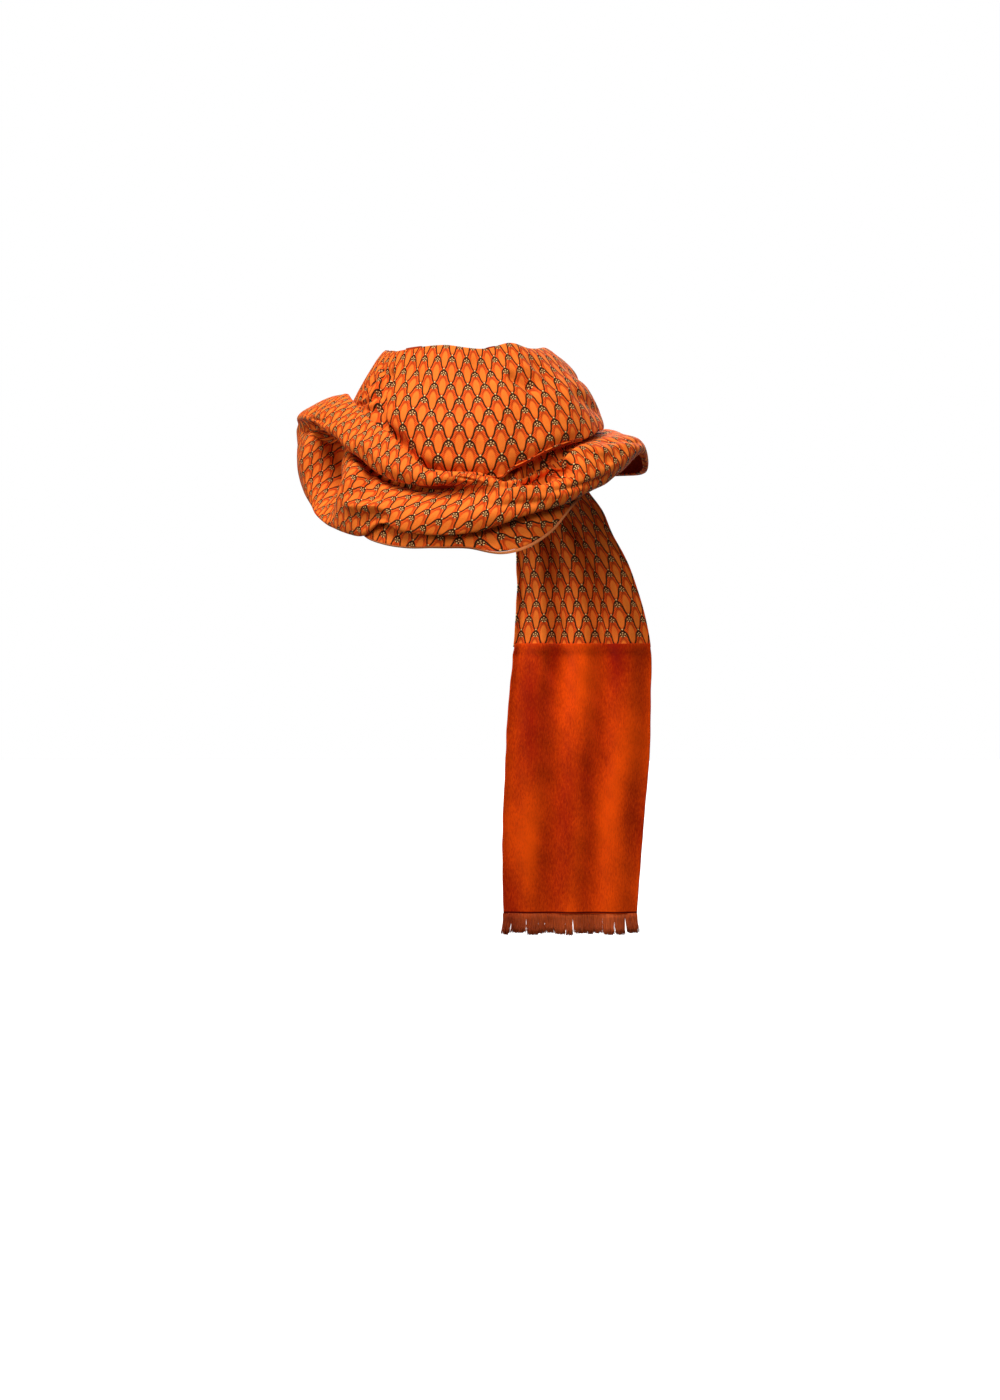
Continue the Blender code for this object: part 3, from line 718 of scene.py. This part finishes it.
def under_turn(finishes, lip_finish):
    """The layer that shows below the lower turn, and the wool lip on its free edge."""
    rows = table(UNDER_COLUMNS, UNDER_ROWS)
    azimuths = np.linspace(rows["azimuth"][0], rows["azimuth"][-1], UNDER_COUNT)
    corners = sections(rows, ("top", "middle", "edge"), azimuths)
    curves = np.stack([section_curve(corner, UNDER_STEPS) for corner in corners])
    points = around(azimuths, curves)
    points = points - ripple(points, UNDER_SEED)[:, :, None] * grid_normals(points, False)
    flat = developed(points, azimuths, UNDER_LEAN, UNDER_STEPS, 0, 2 * UNDER_STEPS)
    whole = np.concatenate([points, flat], axis=2)
    shown = table(SHOWN_COLUMNS, SHOWN_ROWS)
    width = np.interp(azimuths, shown["azimuth"], shown["width"]) * MM
    upper = cut_along(whole, np.full(len(width), math.inf), width + SEAM_GAP, UNDER_DOWN)
    lower = cut_along(whole, width, np.zeros(len(width)), LIP_DOWN)
    turned = table(TURNED_COLUMNS, TURNED_ROWS)
    inward = np.interp(azimuths, turned["azimuth"], turned["inward"]) * MM
    share = np.linspace(0, 1, LIP_DOWN) ** 2
    edge, edge_flat = lower[:, :, :3], lower[:, :, 3:]
    edge = edge - (inward[:, None] * share)[:, :, None] * grid_normals(edge, False)
    points, flat = upper[:, :, :3], upper[:, :, 3:]
    printed = cloth_piece("scarf_under_turn", points, [flat], PRINT_WALL, finishes)
    lip = cloth_piece("scarf_wool_edge", edge, [edge_flat], LIP_WALL, [lip_finish])
    return printed, lip


def tail_grid(z, across):
    """The tail's outer face over heights and shares of its width from the wearer's right."""
    rows = table(TAIL_COLUMNS, TAIL_ROWS[::-1])
    left_x, left_y, right_x, right_y, bow, pleat = (
        through(rows["z"], rows[name], z / MM)[None, :] for name in TAIL_COLUMNS.split()[1:]
    )
    a = across[:, None]
    x = left_x + (right_x - left_x) * a
    y = left_y + (right_y - left_y) * a + 4 * bow * a * (1 - a)
    y = y + pleat * np.sin(2 * math.pi * (TAIL_PLEATS * a + PLEAT_START))
    return np.stack([x * MM, y * MM, np.broadcast_to(z[None, :], x.shape)], axis=2)


def tail_piece(name, top, foot, wall, finish, inset=None):
    """One stretch of the hanging end, `inset` giving how far in its cloth lies at each height."""
    across = np.linspace(1, 0, TAIL_ACROSS)
    z = np.linspace(top, foot, round((top - foot) / TAIL_STEP) + 1)
    points = tail_grid(z, across)
    inward = TAIL_RIPPLE * ripple(points, TAIL_SEED)
    if inset:
        inward = inward + inset(z)[None, :]
    points = points - inward[:, :, None] * grid_normals(points, False)
    flat = np.stack(np.broadcast_arrays(-TAIL_WIDTH * across[:, None], z[None, :]), axis=2)
    return cloth_piece(name, points, [flat], wall, [finish])


def lapped_in(z):
    """How far in the plain panel's top lies, to end behind the printed cloth."""
    t = np.clip((z - LAPPED_FROM) / LAPPED_RISE, 0, 1)
    return (PRINT_WALL + SEAM_GAP) * t * t * (3 - 2 * t)


def fringe_piece(finish):
    """Fine three-sided strands along the hem."""
    draw = np.random.default_rng(FRINGE_SEED)
    borders = np.cumsum(draw.uniform(*CLUMP_WIDTH, CLUMPS + 1))
    borders = (borders - borders[0]) / (borders[-1] - borders[0])
    leans = draw.normal(size=CLUMPS) * CLUMP_LEAN
    lengths = draw.uniform(*CLUMP_LENGTH, CLUMPS)
    data = bpy.data.meshes.new("scarf_fringe")
    verts, faces = [], []
    for n in range(STRANDS):
        share = (n + draw.uniform(0.2, 0.8)) / STRANDS
        clump = int(np.searchsorted(borders, share, side="right")) - 1
        middle = (borders[clump] + borders[clump + 1]) / 2
        root = tail_grid(np.array([TAIL_HEM]), np.array([share]))[0, 0]
        length = draw.uniform(*STRAND_LENGTH) * lengths[clump]
        pull = (middle - share) * FRINGE_WIDTH * draw.uniform(*CLUMP_PULL) + leans[clump]
        swing = draw.normal(size=2) * STRAND_SWING
        size = draw.uniform(*STRAND_RADIUS)
        inset = draw.uniform(*STRAND_INSET)
        base = len(verts)
        for k in range(STRAND_SPANS + 1):
            t = k / STRAND_SPANS
            centre = np.array(
                [
                    root[0] + pull * t**STRAND_BEND + swing[0] * t * t,
                    root[1] - inset + swing[1] * t * t,
                    root[2] + STRAND_TOP - length * t,
                ]
            )
            radius = size * (1 - STRAND_TAPER * t)
            for side in range(3):
                angle = 2 * math.pi * side / 3 + n
                verts.append(centre + radius * np.array([math.cos(angle), math.sin(angle), 0]))
        for k in range(STRAND_SPANS):
            for side in range(3):
                a = base + 3 * k + side
                b = base + 3 * k + (side + 1) % 3
                faces.append((a, a + 3, b + 3, b))
        last = base + 3 * STRAND_SPANS
        faces.append((base, base + 1, base + 2))
        faces.append((last + 2, last + 1, last))
    data.from_pydata(verts, [], faces)
    data.shade_smooth()
    data.materials.append(finish)
    made = bpy.data.objects.new("scarf_fringe", data)
    bpy.context.scene.collection.objects.link(made)
    return made


class Graph:
    """Small helpers for one material's nodes."""

    def __init__(self, name):
        self.material = bpy.data.materials.new(name)
        self.material.use_nodes = True
        self.tree = self.material.node_tree
        self.shader = self.tree.nodes["Principled BSDF"]

    def put(self, socket, value):
        if isinstance(value, bpy.types.NodeSocket):
            self.tree.links.new(value, socket)
        else:
            socket.default_value = value

    def add(self, kind, inputs=None, **settings):
        made = self.tree.nodes.new("ShaderNode" + kind)
        for name, value in settings.items():
            setattr(made, name, value)
        for name, value in (inputs or {}).items():
            self.put(made.inputs[name], value)
        return made

    def math(self, operation, *values):
        return self.add("Math", dict(enumerate(values)), operation=operation).outputs[0]

    def smooth(self, value, low, high):
        made = self.add(
            "MapRange",
            {"Value": value, "From Min": low, "From Max": high},
            interpolation_type="SMOOTHSTEP",
        )
        return made.outputs["Result"]

    def mix(self, share, first, second):
        made = self.add("Mix", data_type="RGBA")
        self.put(made.inputs[0], share)
        self.put(made.inputs[6], first)
        self.put(made.inputs[7], second)
        return made.outputs[2]

    def set(self, **values):
        for name, value in values.items():
            self.put(self.shader.inputs[name.replace("_", " ").title().replace("Ior", "IOR")], value)


def srgb(red, green, blue):
    """A display colour as the shader wants it."""
    made = []
    for value in (red, green, blue):
        share = value / 255
        made.append(share / 12.92 if share <= 0.04045 else ((share + 0.055) / 1.055) ** 2.4)
    return (*made, 1)


def printed_cloth():
    """The orange foulard: a half-drop lattice of scales, each with a small flower head and a petal.

    `rise` is a place's share of its row's height and `side` of half a scale's width. `far` is how
    far it is from the nearest outline, and x and y are its place from the middle of its scale.
    """
    g = Graph("printed_cloth_look")
    places = g.add("SeparateXYZ", {0: g.add("UVMap", uv_map="UVMap").outputs[0]})
    across = g.math("DIVIDE", places.outputs[0], CELL_WIDTH / 2)
    up = g.math("DIVIDE", places.outputs[1], CELL_HEIGHT / 2)
    row = g.math("FLOOR", up)
    rise = g.math("SUBTRACT", up, row)
    shifted = g.math("ADD", g.math("SUBTRACT", across, row), 1)
    side = g.math("ABSOLUTE", g.math("SUBTRACT", g.math("FLOORED_MODULO", shifted, 2), 1))
    fall = g.math("SUBTRACT", 1, rise)
    straight = 1 - SHOULDER - TOE
    dome = g.math("MULTIPLY", g.math("SUBTRACT", 1, g.math("POWER", rise, ROUND_POWER)), SHOULDER)
    toe = g.math("MULTIPLY", g.math("POWER", fall, ROUND_POWER), TOE)
    edge = g.math("ADD", g.math("MULTIPLY", fall, straight), g.math("ADD", dome, toe))
    gap = g.math("SUBTRACT", side, edge)
    dome = g.math("MULTIPLY", g.math("POWER", rise, ROUND_POWER - 1), SHOULDER * ROUND_POWER)
    toe = g.math("MULTIPLY", g.math("POWER", fall, ROUND_POWER - 1), TOE * ROUND_POWER)
    slope = g.math("ADD", g.math("ADD", dome, toe), straight)
    slope = g.math("DIVIDE", slope, CELL_HEIGHT / 2)
    steep = g.math("SQRT", g.math("ADD", g.math("POWER", slope, 2), (2 / CELL_WIDTH) ** 2))
    far = g.math("ABSOLUTE", g.math("DIVIDE", gap, steep))
    lower = g.math("GREATER_THAN", gap, 0)
    x = g.math("MULTIPLY", g.math("ABSOLUTE", g.math("SUBTRACT", side, lower)), CELL_WIDTH / 2)
    y = g.math("MULTIPLY", g.math("SUBTRACT", rise, lower), CELL_HEIGHT / 2)

    def band(value, middle, half, soft):
        away = g.math("ABSOLUTE", g.math("SUBTRACT", value, middle))
        return g.math("SUBTRACT", 1, g.smooth(away, half, half + soft))

    def away_from(height, wide=1.0, tall=1.0):
        sideways = g.math("POWER", g.math("DIVIDE", x, wide), 2)
        upwards = g.math("POWER", g.math("DIVIDE", g.math("SUBTRACT", y, height), tall), 2)
        return g.math("SQRT", g.math("ADD", sideways, upwards))

    ring = away_from(HEAD_PLACE)
    angle = g.math("ARCTAN2", x, g.math("SUBTRACT", y, HEAD_PLACE))
    arms = g.smooth(g.math("COSINE", g.math("MULTIPLY", angle, ARMS)), *ARM_EDGE)
    head = g.math("SUBTRACT", 1, g.smooth(ring, *HEAD_EDGE))
    eye = g.math("SUBTRACT", 1, g.smooth(ring, *EYE_EDGE))
    specks = g.math("MULTIPLY", band(ring, *SPECK_BAND), arms)
    dashes = g.smooth(g.math("COSINE", g.math("MULTIPLY", angle, DASHES)), *DASH_EDGE)
    rim = g.math("MULTIPLY", band(ring, *RIM_BAND), band(angle, *RIM_ANGLES))
    cap = g.math("MULTIPLY", band(ring, *CAP_BAND), band(angle, *CAP_ANGLES))
    tip = g.math("SUBTRACT", 1, g.smooth(away_from(TIP_PLACE), *TIP_EDGE))
    petal = away_from(PETAL_PLACE, PETAL_WIDE, PETAL_TALL)
    arch = g.math("MULTIPLY", band(petal, *ARCH_BAND), g.smooth(y, *ARCH_RISE))
    petal = g.math("SUBTRACT", 1, g.smooth(petal, *PETAL_EDGE))
    barbs = g.math("ADD", y, g.math("MULTIPLY", x, BARB_SLOPE))
    barbs = g.math("SINE", g.math("MULTIPLY", barbs, 2 * math.pi / BARB_PITCH))
    barbs = g.smooth(barbs, *BARB_EDGE)
    outline = g.math("SUBTRACT", 1, g.smooth(far, *OUTLINE_EDGE))

    broad = g.add("TexNoise", {"Scale": PATCHES[0], "Detail": 2.0}).outputs[0]
    grain = g.add("TexNoise", {"Scale": GRAIN[0], "Detail": 1.0}).outputs[0]
    colour = g.mix(barbs, srgb(*PRINT_DEEP), srgb(*PRINT_MIDDLE))
    colour = g.mix(petal, colour, srgb(*PRINT_LIGHT))
    colour = g.mix(g.math("MULTIPLY", arch, ARCH_SHARE), colour, srgb(*PRINT_RUST))
    colour = g.mix(head, colour, g.mix(arms, srgb(*PRINT_BROWN), srgb(*PRINT_RUST)))
    colour = g.mix(g.math("MAXIMUM", eye, specks), colour, srgb(*PRINT_CREAM))
    colour = g.mix(rim, colour, g.mix(dashes, srgb(*PRINT_CREAM), srgb(*PRINT_BROWN)))
    colour = g.mix(outline, colour, srgb(*PRINT_OLIVE))
    colour = g.mix(cap, colour, srgb(*PRINT_BROWN))
    colour = g.mix(tip, colour, srgb(*PRINT_CREAM))
    value = g.math("ADD", g.math("MULTIPLY", broad, PATCHES[1]), g.math("MULTIPLY", grain, GRAIN[1]))
    shade = g.add("HueSaturation", {"Color": colour, "Value": g.math("ADD", value, SHADE_LEVEL)})
    warp, weft = (
        g.math(
            "SINE",
            g.math("MULTIPLY", g.math(way, *places.outputs[:2]), 2 * math.pi / THREAD_PITCH),
        )
        for way in ("ADD", "SUBTRACT")
    )
    weave = g.math("MULTIPLY", warp, weft)
    bump = g.add("Bump", {"Strength": 0.15, "Distance": 0.2 * MM, "Height": weave})
    g.set(
        base_color=shade.outputs[0],
        roughness=0.7,
        normal=bump.outputs[0],
        specular_ior_level=0.07,
        sheen_weight=0.02,
    )
    return g.material


def wool(name, kind, hem=None):
    """Brushed wool: streaks, broad soft bands of tone, a fuzzy sheen and, at the height `hem`, a dark
    line. On the plain panel the bands are painted pleat shade and painted light.
    """
    dark, light, stretch, sheen = kind
    dark, light = srgb(*dark), srgb(*light)
    g = Graph(name)
    spot = g.add("TexCoord").outputs["Object"]
    scale = (STREAKS, STREAKS, STREAKS / stretch)
    streak = g.add("Mapping", {"Vector": spot, "Scale": scale}).outputs[0]
    fine = g.add("TexNoise", {"Vector": streak, "Scale": 1.0, "Detail": 3.0}).outputs[0]
    # Broad bands, long and upright: on the plain panel they are painted pleat shade and painted
    # light, on the other wools tone that varies.
    band_place = g.add("Mapping", {"Vector": spot, "Scale": TONE_AND_SHADE_BANDS}).outputs[0]
    broad = g.add("TexNoise", {"Vector": band_place, "Scale": 1.0, "Detail": 1.0}).outputs[0]
    streaks = g.math("MULTIPLY", fine, STREAK_SHARE)
    share = g.math("ADD", streaks, g.math("MULTIPLY", broad, TONE_AND_SHADE_SHARE))
    colour = g.mix(g.smooth(share, *WOOL_EDGE), dark, light)
    if hem is not None:
        height = g.add("SeparateXYZ", {0: spot}).outputs[2]
        off = g.math("ABSOLUTE", g.math("SUBTRACT", height, hem))
        line = (*(value / HEM_DARKER for value in dark[:3]), 1)
        colour = g.mix(g.smooth(off, *HEM_EDGE), colour, line)
    bump = g.add("Bump", {"Strength": 0.35, "Distance": 0.4 * MM, "Height": fine})
    g.set(
        base_color=colour,
        roughness=0.9,
        normal=bump.outputs[0],
        specular_ior_level=0.05,
        sheen_weight=sheen,
        sheen_roughness=0.5,
    )
    return g.material


def floor_material():
    """Pale and even, a little bright of itself so that it meets the surround."""
    g = Graph("pale_floor")
    g.set(
        base_color=(FLOOR_GREY, FLOOR_GREY, FLOOR_GREY, 1),
        roughness=0.9,
        emission_color=(1, 1, 1, 1),
        emission_strength=0.3,
    )
    return g.material


def stage_and_light():
    """A pale floor far below, a surround that looks white but lights dimly, suns and the camera."""
    scene = bpy.context.scene
    scene.view_settings.view_transform = "Standard"
    world = bpy.data.worlds.new("studio")
    world.use_nodes = True
    tree = world.node_tree
    background = tree.nodes["Background"]
    background.inputs[0].default_value = (1, 1, 1, 1)
    level = tree.nodes.new("ShaderNodeMapRange")
    level.inputs["To Min"].default_value = AMBIENT
    level.inputs["To Max"].default_value = 1.0
    path = tree.nodes.new("ShaderNodeLightPath")
    tree.links.new(path.outputs["Is Camera Ray"], level.inputs["Value"])
    tree.links.new(level.outputs["Result"], background.inputs[1])
    scene.world = world

    size = FLOOR_HALF
    corners = [(-size, -size), (size, -size), (size, size), (-size, size)]
    mesh = bpy.data.meshes.new("floor")
    mesh.from_pydata([(x, y, FLOOR) for x, y in corners], [], [(0, 1, 2, 3)])
    mesh.materials.append(floor_material())
    ground = bpy.data.objects.new("floor", mesh)
    ground.visible_diffuse = False
    scene.collection.objects.link(ground)

    for name, place, angle, strength in SUNS:
        light = bpy.data.lights.new(name, "SUN")
        light.energy = strength
        light.angle = math.radians(angle)
        lamp = bpy.data.objects.new(name, light)
        lamp.rotation_euler = Vector(place).to_track_quat("Z", "Y").to_euler()
        scene.collection.objects.link(lamp)

    camera = bpy.data.cameras.new("camera")
    camera.sensor_width = SENSOR
    camera.lens = SENSOR * EYE_AWAY / (PHOTO_HEIGHT * PIXEL)
    eye = bpy.data.objects.new("camera", camera)
    eye.location = (EYE_X, -EYE_AWAY, EYE_Z)
    eye.rotation_euler = (math.pi / 2, 0, 0)
    scene.collection.objects.link(eye)
    scene.camera = eye


def main():
    stage_and_light()
    printed = printed_cloth()
    # The plain panel's wide dark and light, in upright bands, are painted pleat shade and painted
    # light.
    plain = wool("plain_wool_painted_shade_look", PLAIN_WOOL_WITH_PAINTED_SHADE, HEM_LINE)
    backing = wool("wool_back_look", BACK_WOOL)
    lip_look = wool("wool_lip_look", LIP_WOOL)
    fringe_look = wool("fringe_look", FRINGE_WOOL)

    collar = collar_wrap([printed, backing])
    drape = front_drape([printed, backing])
    under, lip = under_turn([printed, backing], lip_look)
    tail_start = TAIL_ROWS[0][0] * MM
    top = tail_piece("scarf_tail_top", tail_start, PRINT_END, PRINT_WALL, printed)
    end = tail_piece("scarf_tail_end", PLAIN_START, TAIL_HEM, END_WALL, plain, lapped_in)
    fringe = fringe_piece(fringe_look)

    for piece, node, finish in (
        (collar, "collar_wrap", "printed_cloth"),
        (drape, "front_drape", "printed_cloth"),
        (under, "under_turn", "printed_cloth"),
        (lip, "wool_edge", "wool_lip"),
        (top, "tail_printed", "printed_cloth"),
        (end, "tail_plain", "plain_wool"),
        (fringe, "tail_fringe", "fringe_wool"),
    ):
        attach(piece, "root")
        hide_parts(node)


main()
